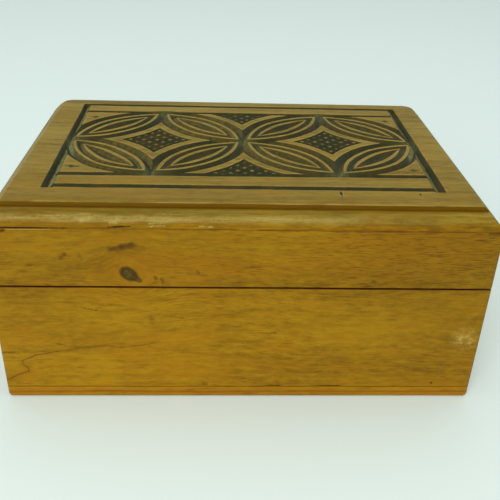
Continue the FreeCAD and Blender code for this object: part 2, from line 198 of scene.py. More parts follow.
def woodFigureGroup():
    tree, given, out = startGroup(
        "woodFigure",
        [("Place", "vector"), ("Light", "colour"), ("Deep", "colour"), ("Warm", "colour"),
         ("Pore", "colour"), ("Pores", "value"), ("Bands", "value"), ("Bend", "value"), ("Mottle", "value")],
        [("Color", "colour"), ("Roughness", "value"), ("Height", "value")])
    g, place = grain, given["Place"]
    bend = span(tree, cloudy(tree, place, *g["bend"]), -g["mostBend"], g["mostBend"])
    bend = times(tree, bend, given["Bend"])
    along = shifted(tree, place, joined(tree, 0.0, bend, bend))
    drift, warmth, band, fibre, mottle, glow, speck = [
        cloudy(tree, along, *g[name])
        for name in ("drift", "warmth", "band", "fibre", "mottle", "glow", "speck")]
    crowded = fade(tree, cloudy(tree, place, *g["dense"]), 0.35, 0.65, 0.2, 1.0)
    dash = times(tree, fade(tree, speck, 0.57, 0.67), crowded, given["Pores"])
    spread = plus(tree, fade(tree, drift, 0.28, 0.72, 0.0, g["driftShare"]),
                  times(tree, fade(tree, band, 0.34, 0.68), given["Bands"]),
                  times(tree, span(tree, mottle, -1.0, 1.0), given["Mottle"]),
                  span(tree, fibre, -g["fibreShare"], g["fibreShare"]), clamp=True)
    colour = mixed(tree, spread, given["Light"], given["Deep"])
    colour = mixed(tree, fade(tree, warmth, 0.45, 0.75, 0.0, g["warmShare"]), colour, given["Warm"])
    colour = mixed(tree, fade(tree, glow, 0.48, 0.70, 0.0, g["glowShare"]), colour, given["Warm"])
    colour = mixed(tree, dash, colour, given["Pore"])
    tree.links.new(colour, out["Color"])
    tree.links.new(span(tree, drift, *g["roughness"]), out["Roughness"])
    tree.links.new(calc(tree, "SUBTRACT", span(tree, fibre, 0.0, 0.6), dash), out["Height"])
    return tree


# Distance from a straight stroke, for the drawn marks
def strokeGroup():
    tree, given, out = startGroup("stroke", [("Place", "vector"), ("Start", "vector"), ("End", "vector")],
                                  [("Distance", "value")])
    way = vectorCalc(tree, "SUBTRACT", given["End"], given["Start"])
    reach = vectorCalc(tree, "SUBTRACT", given["Place"], given["Start"])
    passed = vectorCalc(tree, "DOT_PRODUCT", reach, way, "Value")
    whole = vectorCalc(tree, "DOT_PRODUCT", way, way, "Value")
    share = calc(tree, "DIVIDE", passed, whole, clamp=True)
    foot = addNode(tree, "VectorMath", {0: way, "Scale": share}, operation="SCALE").outputs[0]
    tree.links.new(vectorCalc(tree, "DISTANCE", reach, foot, "Value"), out["Distance"])
    return tree


woodFigure = woodFigureGroup()
stroke = strokeGroup()

goldenWood = {"light": (165, 123, 10), "deep": (125, 88, 4), "warm": (164, 111, 5), "pore": (88, 54, 4),
              "pores": 0.7, "bands": 0.28, "bend": 0.8, "mottle": 1.1, "specular": 0.10, "bump": 0.05}
# the carved board's tones, for its upward faces: partly faded wood, partly a painted sheen
carvedWood = {"light": (151, 129, 44), "deep": (107, 86, 21), "warm": (149, 118, 33), "pore": (80, 60, 14),
              "pores": 0.55, "bands": 0.5, "bend": 0.3, "mottle": 0.7, "specular": 0.08, "bump": 0.05}
innerWood = {"light": (190, 158, 98), "deep": (160, 124, 70), "warm": (186, 146, 82), "pore": (118, 86, 44),
             "pores": 0.4, "bands": 0.5, "bend": 0.8, "mottle": 0.4, "specular": 0.22, "bump": 0.05}
# a redder line runs along the middle of the bottom board's edge
bottomWood = dict(goldenWood, light=(166, 122, 14), deep=(138, 96, 8), warm=(164, 108, 8),
                  takenFrom=(37, 11, 90), midLine=(132, 72, 8), midLineHeight=(1.9, 3.5), midLineReach=(0.75, 0.1))
brass = {"bright": (196, 154, 70), "dull": (140, 104, 46), "roughness": (0.28, 0.50), "bump": 0.003}

wallLow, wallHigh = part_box("lid_front_wall")
outside = {"half": (wallHigh.x / mm, -wallLow.y / mm), "reach": (1.8, 0.7)}
seams = {"saw": {"height": (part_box("base_front_wall")[1].z + wallLow.z) / 2 / mm, "colour": (72, 32, 3),
                 "reach": 0.55, "strength": (0.85, 1.0)},
         "board": {"height": wallHigh.z / mm, "colour": (98, 57, 8), "reach": 0.5, "strength": (0.1, 0.75)}}


def figure(tree, place, look, **changes):
    given = {name.title(): tone(*look[name]) for name in ("light", "deep", "warm", "pore")}
    given.update({name.title(): look[name] for name in ("pores", "bands", "bend", "mottle")})
    given.update(changes, Place=place)
    return useGroup(tree, woodFigure, given)


def seamShade(tree, place, colour):
    # old polish and dust along the saw line and under the top board, on the outside only
    axes = axesOf(tree, place)
    within = [calc(tree, "SUBTRACT", half, calc(tree, "ABSOLUTE", axis))
              for half, axis in zip(outside["half"], axes)]
    outer = fade(tree, calc(tree, "MINIMUM", *within), *outside["reach"])
    uneven = cloudy(tree, place, (0.09, 0.09, 0.4), 3.0, 0.6, (9, 4, 2))
    for seam in seams.values():
        away = calc(tree, "ABSOLUTE", calc(tree, "SUBTRACT", axes[2], seam["height"]))
        line = times(tree, fade(tree, away, seam["reach"], 0.5 * seam["reach"]),
                     fade(tree, uneven, 0.38, 0.62, *seam["strength"]), outer)
        colour = painted(tree, line, colour, seam["colour"])
    return colour


def startWood(name, look):
    material, tree, shader = startMaterial(name, {"Specular IOR Level": look["specular"]})
    return material, tree, shader, objectPlace(tree)


def finishWood(tree, shader, look, wood, colour):
    tree.links.new(colour, shader.inputs["Base Color"])
    tree.links.new(wood["Roughness"], shader.inputs["Roughness"])
    raised(tree, shader, wood["Height"], look["bump"] * mm)


def woodMaterial(name, look, turned=False):
    material, tree, shader, place = startWood(name, look)
    course = place
    if turned:                                  # grain along Y
        course = addNode(tree, "Mapping", {"Vector": place, "Rotation": (0, 0, math.pi / 2)}).outputs[0]
    wood = figure(tree, course, look)
    colour = seamShade(tree, place, wood["Color"]) if look is goldenWood else wood["Color"]
    finishWood(tree, shader, look, wood, colour)
    return material


def strokeMask(tree, place, points, width):
    # 1 on a line through the points, 0 beside it
    nearest = None
    for start, end in zip(points, points[1:]):
        away = useGroup(tree, stroke, {"Place": place, "Start": (*start, 0), "End": (*end, 0)})["Distance"]
        nearest = away if nearest is None else calc(tree, "MINIMUM", nearest, away)
    return fade(tree, nearest, width, 0.1 * width)


def ovalDistance(tree, place, middle, size, turn=0.0):
    # 0 in the middle of an oval, 1 on its outline
    spot = addNode(tree, "Mapping", {"Vector": place, "Location": (*middle, 0), "Scale": (*size, 1),
                                     "Rotation": (0, 0, math.radians(turn))}, vector_type="TEXTURE")
    return vectorCalc(tree, "LENGTH", spot.outputs[0], output="Value")


def wandered(tree, flat, amount):
    # the place moved about a little, so that drawn marks get uneven edges
    wander = addNode(tree, "TexNoise", {"Vector": flat, "Scale": 0.9, "Detail": 4.0, "Roughness": 0.65})
    centred = vectorCalc(tree, "SUBTRACT", wander.outputs["Color"], (0.5, 0.5, 0.5))
    return shifted(tree, scaled(tree, centred, (2.4 * amount, 1.9 * amount, 0)), flat)


# Front boards: their marks across and up. A fleck ends with its width and strength, a gap with its width
frontMarks = {
    "outer": (-60.9, -61.5), "bend": 0.4, "steady": 0.45, "loose": 1.0, "gapWander": 0.12,
    "pores": {"rise": (-30.0, 40.0), "fall": (90.0, 66.0, 0.5, 1.0), "strength": (0.36, 0.44), "onLid": 0.3,
              "nick": ((0.21, 2.3, 2.3), 1.5, 0.5, (23, 7, 11)), "upperLid": (53.0, 61.0, 0.7, 1.7)},
    # brightness, then its change along X or Z: axis, start, end, change. Painted shade darkens the boards
    # towards the top and the right end; they are a little darker towards the left end too
    "brightness": 1.05,
    "shadeAndTint": [(2, 4.0, 76.0, -0.205), (0, 10.0, 84.0, -0.15), (0, -30.0, -85.0, -0.05)],
    "knot": {"place": (-40.7, 56.3), "size": (3.8, 2.75), "turn": -38, "tail": (-36.9, 53.4),
             "tailWidth": 0.85, "tailBlend": 0.9, "pull": 0.10, "rings": 4.4, "haloReach": (4.4, 0.9),
             "haloStrength": (0.26, 0.40), "outline": (1.15, 0.70), "core": (90, 76, 28), "rim": (54, 38, 8),
             "halo": (150, 98, 6)},
    "zoneLine": [(-90.2, 8.6), (-87.9, 9.0), (-85.6, 10.8), (-80.9, 12.5), (-80.6, 13.9), (-82.4, 16.1),
                 (-82.6, 17.7), (-77.3, 20.3), (-69.1, 22.1)],
    "faintLine": [(-69.1, 22.1), (-59.7, 23.8), (-51.6, 24.8), (-44.8, 24.1), (-37.9, 25.0), (-33.1, 26.1)],
    "grainLine": [(-35.3, 24.6), (-26.0, 22.6), (-13.3, 21.1), (-1.2, 19.2), (8.0, 19.6), (24.0, 18.2)],
    # which line, how it wanders, width, strength
    "lines": [("zoneLine", "steady", 0.5, 0.75), ("zoneLine", "steady", 2.2, 0.14),
              ("faintLine", "steady", 0.6, 0.5), ("grainLine", "loose", 1.0, 0.2)],
    "line": (96, 56, 8),
    "flecks": [((-46.4, 66.2), (-42.5, 66.9), 1.3, 0.7), ((-42.5, 67.1), (-38.9, 68.0), 1.5, 0.75),
               ((-39.0, 67.4), (-35.5, 66.6), 1.6, 0.25), ((-37.6, 54.9), (-36.6, 53.4), 1.0, 0.3),
               ((-63.6, 62.7), (-62.4, 64.0), 1.1, 0.6), ((-57.4, 63.9), (-56.6, 62.2), 0.9, 0.3),
               ((-31.6, 55.0), (-31.2, 54.4), 0.7, 0.6), ((-29.3, 54.2), (-28.8, 53.1), 0.9, 0.6),
               ((-16.7, 57.6), (-16.3, 56.6), 0.8, 0.5), ((-75.4, 59.5), (-74.4, 59.5), 0.7, 0.45),
               ((-57.6, 41.5), (-53.2, 40.8), 0.5, 0.55), ((-33.6, 37.9), (-33.2, 35.5), 1.5, 0.3),
               ((-68.8, 25.4), (-66.2, 25.3), 0.5, 0.5), ((-14.8, 6.5), (-14.0, 6.4), 1.2, 0.55),
               ((45.4, 53.9), (47.2, 53.8), 0.6, 0.7), ((-86.0, 72.7), (-81.7, 73.05), 0.8, 0.9),
               ((84.6, 73.6), (90.0, 73.7), 1.0, 0.55), ((-86.0, 6.9), (-81.0, 6.6), 0.5, 0.4),
               ((-90.4, 21.4), (-85.0, 21.5), 0.5, 0.55), ((11.3, 31.2), (11.9, 31.0), 0.9, 0.45)],
    "fleck": (66, 42, 6), "fleckSpread": 1.25,
    # gaps: painted shadow where the bottom joint stands open
    "gaps": [((2.6, 5.1), (9.6, 5.3), 0.28), ((9.6, 5.35), (14.6, 5.5), 0.62),
             ((17.0, 5.1), (25.0, 5.2), 0.3), ((28.8, 5.3), (34.0, 5.5), 0.42),
             ((33.6, 5.6), (38.0, 5.5), 0.62), ((41.0, 5.1), (53.0, 5.2), 0.26),
             ((59.0, 5.3), (60.0, 5.4), 0.42), ((74.45, 7.2), (74.75, 7.0), 0.62)],
    "gap": (36, 20, 8),
    # the joint under the top board stands open at the left: a painted highlight on the wall's top edge, then
    # painted shadow in the open joint; width, strength, colour
    "openJoint": [((-80.6, 73.5), (-66.0, 73.65), 0.3, 0.34, (190, 160, 80)),
                  ((-91.0, 74.25), (-69.0, 74.22), 0.5, 0.95, (40, 20, 8)),
                  ((-69.5, 74.25), (-60.5, 74.2), 0.3, 0.75, (40, 20, 8))],
    "scuff": {"place": (84.0, 28.7), "size": (6.2, 6.0), "reach": (1.15, 0.3), "strength": (0.12, 0.72),
              "colour": (196, 166, 84)}}


def paintKnot(tree, colour, flat, steady, away, outer):
    knot = frontMarks["knot"]
    ends = {"Place": steady, "Start": (*knot["place"], 0), "End": (*knot["tail"], 0)}
    tail = calc(tree, "DIVIDE", useGroup(tree, stroke, ends)["Distance"], knot["tailWidth"])
    shape = addNode(tree, "Math", {0: away, 1: tail, 2: knot["tailBlend"]},
                    operation="SMOOTH_MIN").outputs[0]
    rings = calc(tree, "SINE", times(tree, away, knot["rings"]))
    halo = times(tree, fade(tree, away, *knot["haloReach"]), span(tree, rings, *knot["haloStrength"]), outer)
    colour = painted(tree, halo, colour, knot["halo"])
    blotch = fade(tree, cloudy(tree, flat, (0.45, 0.45, 0.45), 4.0, 0.6, (2, 4, 0)), 0.35, 0.65)
    heart = painted(tree, blotch, tone(*knot["core"]), knot["rim"])
    heart = painted(tree, fade(tree, shape, 0.35, 0.85), heart, knot["rim"])
    inKnot = times(tree, fade(tree, shape, *knot["outline"]), fade(tree, away, 1.5, 0.9, 0.5, 0.94), outer)
    return mixed(tree, inKnot, colour, heart)


def frontMaterial():
    look, marks, pores, knot = goldenWood, frontMarks, frontMarks["pores"], frontMarks["knot"]
    material, tree, shader, place = startWood("goldenWoodFront", look)
    axes = axesOf(tree, place)
    outer = fade(tree, axes[1], *marks["outer"])
    flat = joined(tree, axes[0], axes[2])
    paths = {name: wandered(tree, flat, marks[name]) for name in ("steady", "loose")}
    # the grain runs round the knot
    away = ovalDistance(tree, paths["steady"], knot["place"], knot["size"], knot["turn"])
    pull = calc(tree, "EXPONENT", times(tree, away, away, -knot["pull"]))
    lift = times(tree, calc(tree, "SUBTRACT", knot["place"][1], axes[2]), pull)
    bent = joined(tree, axes[0], axes[1], plus(tree, axes[2], lift))
    # open pores show most on the right half of the lid board
    toRight = times(tree, fade(tree, axes[0], *pores["rise"]), fade(tree, axes[0], *pores["fall"]))
    onLid = fade(tree, axes[2], seams["saw"]["height"] - 0.5, seams["saw"]["height"] + 0.5)
    mostPores = times(tree, onLid, toRight, pores["onLid"])
    poreStrength = plus(tree, span(tree, toRight, *pores["strength"]), mostPores)
    wood = figure(tree, bent, look, Pores=poreStrength, Bend=marks["bend"])
    # painted shade: the boards darken towards the top, so the lid is darker than the base, and towards the
    # right end
    shadeAndTint = [fade(tree, axes[axis], start, end, 0.0, change) for axis, start, end, change in marks["shadeAndTint"]]
    colour = brightened(tree, wood["Color"], plus(tree, *shadeAndTint, marks["brightness"]))
    nick = times(tree, fade(tree, cloudy(tree, bent, *pores["nick"]), 0.53, 0.66), mostPores,
                 fade(tree, axes[2], *pores["upperLid"]))
    colour = painted(tree, nick, colour, look["pore"])
    colour = paintKnot(tree, colour, flat, paths["steady"], away, outer)
    patchy = cloudy(tree, flat, (0.3, 0.3, 0.3), 2.0)
    for name, path, width, strength in marks["lines"]:
        line = times(tree, strokeMask(tree, paths[path], marks[name], width),
                     span(tree, patchy, 0.35 * strength, 1.5 * strength), outer)
        colour = painted(tree, line, colour, marks["line"])
    crumbs = span(tree, cloudy(tree, flat, (1.1, 1.4, 1.0), 3.0, 0.7, (6, 1, 3)), 0.35, 1.5)
    for start, end, width, strength in marks["flecks"]:
        mark = strokeMask(tree, paths["loose"], (start, end), marks["fleckSpread"] * width)
        mark = times(tree, mark, crumbs, strength, clamp=True)
        colour = painted(tree, times(tree, mark, outer), colour, marks["fleck"])
    scuff = marks["scuff"]
    inScuff = fade(tree, ovalDistance(tree, flat, scuff["place"], scuff["size"]), *scuff["reach"])
    grit = cloudy(tree, flat, (0.42, 0.5, 0.5), 4.0, 0.7, (4, 8, 2))
    rubbedAndHighlight = times(tree, inScuff, fade(tree, grit, 0.44, 0.68, *scuff["strength"]), outer)
    colour = painted(tree, rubbedAndHighlight, colour, scuff["colour"])
    colour = seamShade(tree, place, colour)
    # painted highlight and painted shadow at the open joint, then painted shadow in the gaps at the bottom
    for start, end, width, strength, shade in marks["openJoint"]:
        line = times(tree, strokeMask(tree, flat, (start, end), width), strength, outer)
        colour = painted(tree, line, colour, shade)
    rough = wandered(tree, flat, marks["gapWander"])
    for start, end, width in marks["gaps"]:
        line = times(tree, strokeMask(tree, rough, (start, end), width), outer)
        colour = painted(tree, line, colour, marks["gap"])
    finishWood(tree, shader, look, wood, colour)
    return material


# Carved board: colours, where its finish changes along X, Y or Z, and the marks on its front
carvedLook = {
    "stain": (51, 51, 25), "stainLit": (98, 86, 38), "stainPale": (128, 128, 76), "stainWarm": (80, 62, 22),
    # the last pale colour on the next line is for rubbed edges and chips, and also for the painted highlight
    # on the rounded edge
    "step": (106, 73, 0), "ridge": (166, 142, 60), "stud": (92, 88, 50), "rubbedAndHighlight": (170, 150, 80),
    "edge": (124, 88, 4), "crackAndGapShade": (46, 24, 6),
    "ledge": 79.1, "frontFace": (-57.0, -58.0), "nearFront": (-54.6, -55.4),
    "goldTowardFront": (-5.0, -40.0, 0.0, 0.16), "lighter": (40.0, 82.0, 1.0, 1.07),
    "dull": (0.0, 60.0), "dullStrength": (0.04, 0.24),
    "stepFootShade": [(-56.85, -56.35), (-55.9, -56.1)], "footShadeStrength": 0.8, "wornAndHighlight": (86.0, 0.0),
    "sideCuts": (66.5, 68.5), "litLess": (0.0, 30.0, 1.0, 0.45), "crossingHaze": 0.32,
    "chips": [((-55.6, 77.0), (-53.0, 77.3), 1.0), ((-45.4, 76.7), (-43.4, 77.2), 1.1),
              ((-33.0, 75.2), (-27.6, 75.5), 0.32), ((-32.6, 76.2), (-28.6, 76.4), 0.3),
              ((-15.6, 75.3), (-11.4, 75.1), 0.32)],
    "chipWander": 1.0, "chipSpread": 1.4,
    # the first two are cracks; the last two are painted shadow in the open joint under the board
    "cracksAndGapShade": [((-46.6, 74.75), (-39.2, 75.05), 0.3), ((-44.8, 74.85), (-41.6, 75.0), 0.5),
               ((-91.0, 74.2), (-69.0, 74.2), 0.5), ((-69.5, 74.2), (-61.0, 74.2), 0.26)],
    "crackWander": 0.25}


def boardFinish(tree, place, axes, sideways, up, woodColour):
    # the uncut surface: upward faces greyed, partly faded wood and partly a painted sheen; the step, painted
    # darker as shade; a painted highlight on the rounded edge and the rubbed rim of the flat
    extra = carvedLook
    ledge = extra["ledge"]
    dapple = cloudy(tree, place, (0.16, 0.8, 0.8), 4.0, 0.7, (9, 3, 6))
    golden = figure(tree, place, goldenWood)["Color"]
    golden = painted(tree, fade(tree, dapple, 0.35, 0.65, 0.2, 0.9), golden, extra["edge"])
    ragged = cloudy(tree, place, (0.10, 0.9, 0.9), 4.0, 0.65, (3, 7, 1))
    lean = plus(tree, up, span(tree, ragged, -0.3, 0.3))
    # upward faces take the greyed tone, partly faded wood and partly a painted sheen; upright faces keep the
    # gold
    fadedAndSheen = mixed(tree, fade(tree, axes[1], *extra["goldTowardFront"]), woodColour, golden)
    # painted light: the upward faces are brightened towards the right end
    fadedAndSheen = brightened(tree, fadedAndSheen, fade(tree, axes[0], *extra["lighter"]))
    colour = mixed(tree, fade(tree, lean, 0.2, 0.8), golden, fadedAndSheen)
    belowLedge = fade(tree, axes[2], ledge - 0.1, ledge - 0.4)
    # painted shade: below the ledge the rounded edge darkens towards the right, unevenly
    dull = times(tree, belowLedge, fade(tree, axes[0], *extra["dull"]),
                 fade(tree, dapple, 0.35, 0.65, *extra["dullStrength"]))
    colour = brightened(tree, colour, calc(tree, "SUBTRACT", 1.0, dull))
    # the step under the flat, painted darker as shade, most at its foot; the painted shade spreads over a
    # band onto the ledge and the flat's edge
    nearFront = fade(tree, axes[1], *extra["nearFront"])
    step = times(tree, fade(tree, up, 0.85, 0.5), fade(tree, axes[2], ledge - 0.05, ledge + 0.15), nearFront)
    dim = times(tree, span(tree, cloudy(tree, place, (0.1, 0.5, 0.9), 3.0, 0.6, (1, 9, 6)), 0.70, 1.3),
                fade(tree, axes[2], ledge + 0.55, ledge + 0.1, 1.0, 0.72))
    footShade = times(tree, *[fade(tree, axes[1], *edge) for edge in extra["stepFootShade"]], extra["footShadeStrength"])
    stepTone = brightened(tree, tone(*extra["step"]), dim)
    colour = mixed(tree, calc(tree, "MAXIMUM", step, footShade), colour, stepTone)
    # the rounded edge gets a painted highlight in uneven streaks, and the flat's rim is rubbed pale,
    # unevenly
    long = cloudy(tree, place, (0.05, 0.8, 0.8), 3.0, 0.65, (2, 6, 4))
    short = cloudy(tree, place, (0.7, 1.3, 1.3), 3.0, 0.7, (5, 1, 9))
    streak = fade(tree, plus(tree, long, times(tree, short, 0.6)), 0.60, 0.98, 0.10, 0.80)
    # painted highlight: pale streaks along the middle of the rounded edge, strongest at the left end
    wornAndHighlight = times(tree, fade(tree, lean, 0.32, 0.68), fade(tree, lean, 0.98, 0.70), belowLedge,
                 fade(tree, calc(tree, "ABSOLUTE", sideways), 0.5, 0.2), streak,
                 fade(tree, axes[0], *extra["wornAndHighlight"]))
    colour = painted(tree, wornAndHighlight, colour, extra["rubbedAndHighlight"])
    broken = cloudy(tree, place, (0.09, 0.3, 0.3), 4.0, 0.65, (4, 4, 1))
    rim = times(tree, fade(tree, up, 0.6, 0.85), fade(tree, up, 0.998, 0.97),
                fade(tree, axes[2], ledge + 0.7, ledge + 1.2), span(tree, nearFront, 0.6, 0.85),
                fade(tree, broken, 0.38, 0.60, 0.1, 1.0))
    return painted(tree, rim, colour, extra["rubbedAndHighlight"])


def cutFinish(tree, place, axes, sideways, colour):
    # pale edges along the cuts, dark stain in them
    extra = carvedLook
    depth, beside = attribute(tree, "cut"), attribute(tree, "beside")
    studded, crossing = attribute(tree, "studded"), attribute(tree, "crossing")
    patchy = cloudy(tree, place, (0.45, 0.45, 0.45), 4.0, 0.65)
    touched = times(tree, fade(tree, beside, 0.12, 0.5), fade(tree, patchy, 0.35, 0.65, 0.2, 0.75))
    colour = painted(tree, touched, colour, extra["ridge"])
    studTop = times(tree, studded, fade(tree, patchy, 0.36, 0.64, 0.25, 1.0))
    colour = painted(tree, studTop, colour, extra["stud"])
    brown = cloudy(tree, place, (0.12, 0.12, 0.12), 3.0, 0.6, (8, 2, 5))
    stain = painted(tree, fade(tree, brown, 0.46, 0.64, 0.0, 0.5), tone(*extra["stain"]), extra["stainWarm"])
    # painted light: flanks turned to the left get a lighter stain, as if lit, most on the board's left half
    uneven = fade(tree, patchy, 0.32, 0.68, 0.35, 1.3)
    atSide = fade(tree, calc(tree, "ABSOLUTE", axes[0]), *extra["sideCuts"])
    elsewhere = span(tree, calc(tree, "MAXIMUM", atSide, studded), 0.75, 0.0)
    litFlanks = times(tree, fade(tree, sideways, -0.02, -0.40), uneven, elsewhere, clamp=True)
    litFlanks = times(tree, litFlanks, fade(tree, axes[0], *extra["litLess"]))
    stain = painted(tree, litFlanks, stain, extra["stainLit"])
    hazy = times(tree, crossing, extra["crossingHaze"], uneven, clamp=True)
    stain = painted(tree, hazy, stain, extra["stainPale"])
    # the inner flanks of the side cuts are paler
    outwards = times(tree, sideways, calc(tree, "SIGN", axes[0]))
    pale = times(tree, fade(tree, outwards, 0.25, 0.6), fade(tree, depth, 0.2, 0.8, 0.3, 1.0),
                 atSide, uneven, clamp=True)
    stain = painted(tree, pale, stain, extra["stainPale"])
    stained = fade(tree, plus(tree, depth, span(tree, patchy, -0.07, 0.07)), 0.03, 0.22)
    return mixed(tree, stained, colour, stain)


def carvedMaterial():
    look, extra = carvedWood, carvedLook
    material, tree, shader, place = startWood("carvedWood", look)
    axes = axesOf(tree, place)
    facing = axesOf(tree, addNode(tree, "TexCoord").outputs["Normal"])
    wood = figure(tree, place, look)
    colour = boardFinish(tree, place, axes, facing[0], facing[2], wood["Color"])
    front = fade(tree, axes[1], *extra["frontFace"])
    flat = joined(tree, axes[0], axes[2])
    loose = wandered(tree, flat, extra["chipWander"])
    crumbs = fade(tree, cloudy(tree, flat, (0.8, 1.2, 1.0), 3.0, 0.7, (6, 1, 3)), 0.40, 0.62, 0.15, 1.0)
    for start, end, width in extra["chips"]:
        mark = times(tree, strokeMask(tree, loose, (start, end), extra["chipSpread"] * width), front, crumbs)
        colour = painted(tree, mark, colour, extra["rubbedAndHighlight"])
    colour = cutFinish(tree, place, axes, facing[0], colour)
    colour = seamShade(tree, place, colour)
    rough = wandered(tree, flat, extra["crackWander"])
    # cracks, and painted shadow in the open joint at the left
    for start, end, width in extra["cracksAndGapShade"]:
        mark = times(tree, strokeMask(tree, rough, (start, end), width), front)
        colour = painted(tree, mark, colour, extra["crackAndGapShade"])
    finishWood(tree, shader, look, wood, colour)
    return material


def bottomMaterial():
    look = bottomWood
    material, tree, shader, place = startWood("bottomWood", look)
    wood = figure(tree, shifted(tree, place, look["takenFrom"]), look)
    uneven = cloudy(tree, place, (0.03, 0.03, 0.3), 3.0, 0.6)
    fromMidLine = calc(tree, "SUBTRACT", axesOf(tree, place)[2], span(tree, uneven, *look["midLineHeight"]))
    midLine = times(tree, fade(tree, calc(tree, "ABSOLUTE", fromMidLine), *look["midLineReach"]),
                  span(tree, uneven, 0.2, 1.0))
    finishWood(tree, shader, look, wood, painted(tree, midLine, wood["Color"], look["midLine"]))
    return material


def brassMaterial():
    material, tree, shader = startMaterial("agedBrass", {"Metallic": 1.0})
    place = objectPlace(tree)
    patch = cloudy(tree, place, (0.25, 0.25, 0.25), 3.0, 0.55)
    fine = cloudy(tree, place, (0.5, 7, 7), 2.0)
    colour = painted(tree, fade(tree, patch, 0.35, 0.7), tone(*brass["bright"]), brass["dull"])
    tree.links.new(colour, shader.inputs["Base Color"])
    tree.links.new(span(tree, patch, *brass["roughness"]), shader.inputs["Roughness"])
    raised(tree, shader, fine, brass["bump"] * mm)
    return material


longWood = woodMaterial("goldenWoodLong", goldenWood)
crossWood = woodMaterial("goldenWoodCross", goldenWood, turned=True)
frontWood = frontMaterial()
bottomFinish = bottomMaterial()
plainWood = woodMaterial("innerWoodLong", innerWood)
plainCross = woodMaterial("innerWoodCross", innerWood, turned=True)
carved = carvedMaterial()
agedBrass = brassMaterial()
print("materials made")

finishBySlot = {"golden_wood": longWood, "inner_wood": plainWood, "brass": agedBrass}
finishByNode = {"base_front_wall": frontWood, "lid_front_wall": frontWood, "bottom_board": bottomFinish,
                "base_left_wall": crossWood, "base_right_wall": crossWood, "lid_left_wall": crossWood,
                "lid_right_wall": crossWood, "liner_left": plainCross, "liner_right": plainCross}
for part in frame["record"]["subparts"]:
    node = frame["nodes"][part["node"]]
    node.data.materials.clear()
    node.data.materials.append(finishByNode.get(part["node"], finishBySlot[part["material_slot"]]))


# Mesh helpers
def activate(piece):
    bpy.ops.object.select_all(action="DESELECT")
    piece.select_set(True)
    bpy.context.view_layer.objects.active = piece


def boxOf(node):
    # lowest and highest corners in millimetres
    return [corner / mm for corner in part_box(node)]


def readPoints(piece):
    spots = np.empty(len(piece.data.vertices) * 3)
    piece.data.vertices.foreach_get("co", spots)
    return spots.reshape(-1, 3)


def writePoints(piece, spots):
    piece.data.vertices.foreach_set("co", (spots * mm).ravel())


def finishPiece(piece, node, body, material, angle):
    bpy.ops.object.mode_set(mode="EDIT")
    bpy.ops.mesh.select_all(action="SELECT")
    bpy.ops.mesh.normals_make_consistent(inside=False)
    bpy.ops.object.mode_set(mode="OBJECT")
    bpy.ops.object.shade_smooth_by_angle(angle=math.radians(angle))
    piece.data.materials.clear()
    piece.data.materials.append(material)
    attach(piece, body)
    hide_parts(node)


# Carved top board: one sheet of fine cells, folded down over the moulded edge
topBoard = {"stepHeight": 1.9, "flatInset": 6.3, "edgeRadius": 4.6, "endLand": 0.2,
            "frontCorner": (0.9, 0.45), "backCorner": (1.0, 0.45), "flatCornerRound": 4.2, "leastRound": 0.4,
            "innerRound": 0.1, "stepSoft": 0.16, "stepFoot": 0.1, "rimWidth": 3.5, "fieldInset": 9.3,
            "cell": 0.42, "bandCell": 1.1, "roundSteps": 6, "sway": 0.06, "swayLength": 26.0, "margin": 0.7,
            "frontMargin": 3.15, "bandGap": 0.4, "tiltGap": 1.1, "besideFade": 0.8, "uncut": 0.04,
            "smoothAngle": 32}
# Distances inside a petal are taken from its outline. Grooves run along the front and back of the pattern:
# from, to, tilt. A slip of the tool: place, shift, reach. A dent: place, width, length, depth
carving = {"circle": 35.2, "middle": (0.4, 4.8), "stretch": (1.02, 0.972), "panelX": 73.3,
           "panelFront": -44.6, "panelBack": 50.4, "panelSoft": 0.5, "lean": 0.0075, "sideGouge": 3.9,
           "sideTaper": -0.011, "sideDeepest": 0.66, "sideSway": 0.6,
           "grooves": [(-44.1, -40.8, 0.0), (-32.8, -29.6, 0.0104), (38.4, 40.6, 0.0), (48.3, 50.4, 0.0)],
           "grooveDepth": 1.2, "grooveDeepest": 0.7, "grooveSway": 0.5,
           "gouge": (-2.5, 1.9), "gougeDepth": 2.0, "ring": (3.0, 6.05), "ringTaper": 0.07, "ringDepth": 1.2,
           "heart": 7.45, "heartTaper": 0.36, "heartSlope": 0.75, "heartDepth": 1.4, "leastHalf": 0.2,
           "diamondEdge": -5.45, "diamondSoft": 0.8, "studPitch": 3.8, "studTop": 0.55, "studSink": -0.06,
           "studUneven": 0.42, "studDepth": 1.1, "studRim": 1.7, "studGap": 0.4,
           "slips": [(-50.0, -14.0, 0.0, -1.7, 14.0), (-26.0, -27.0, 1.2, 0.0, 8.0)],
           "wobble": 0.28, "wobbleLength": 12.0, "fineLength": 2.2, "fineShare": 0.16, "fineDepth": 0.05,
           "chips": [(-65.2, -25.0), (-65.5, 32.0), (65.7, -24.5), (66.2, 32.6)], "chipSize": (3.0, 2.0),
           "chipDepth": 0.3, "chipReach": 1.15, "chipRagged": 0.4,
           "dents": [(34.4, -46.4, 0.6, 2.0, 0.7), (63.1, -46.4, 0.5, 1.3, 0.5),
                     (75.8, 3.0, 1.8, 0.5, 0.45)],
           "crossingReach": 4.5}
noise.seed_set(1)                               # the same unevenness in the carving each run


def noiseField(x, y, length, offset):
    # smooth field of three values over the board, -1 to 1
    rows = [noise.noise_vector(Vector((a / length, b / length, offset))) for a, b in zip(x, y)]
    return np.array(rows)


def vee(place, low, high, depth, deepest=0.5):
    middle = low + deepest * (high - low)
    rise = np.where(place < middle, (place - low) / (middle - low), (high - place) / (high - middle))
    return depth * np.clip(rise, 0, 1)


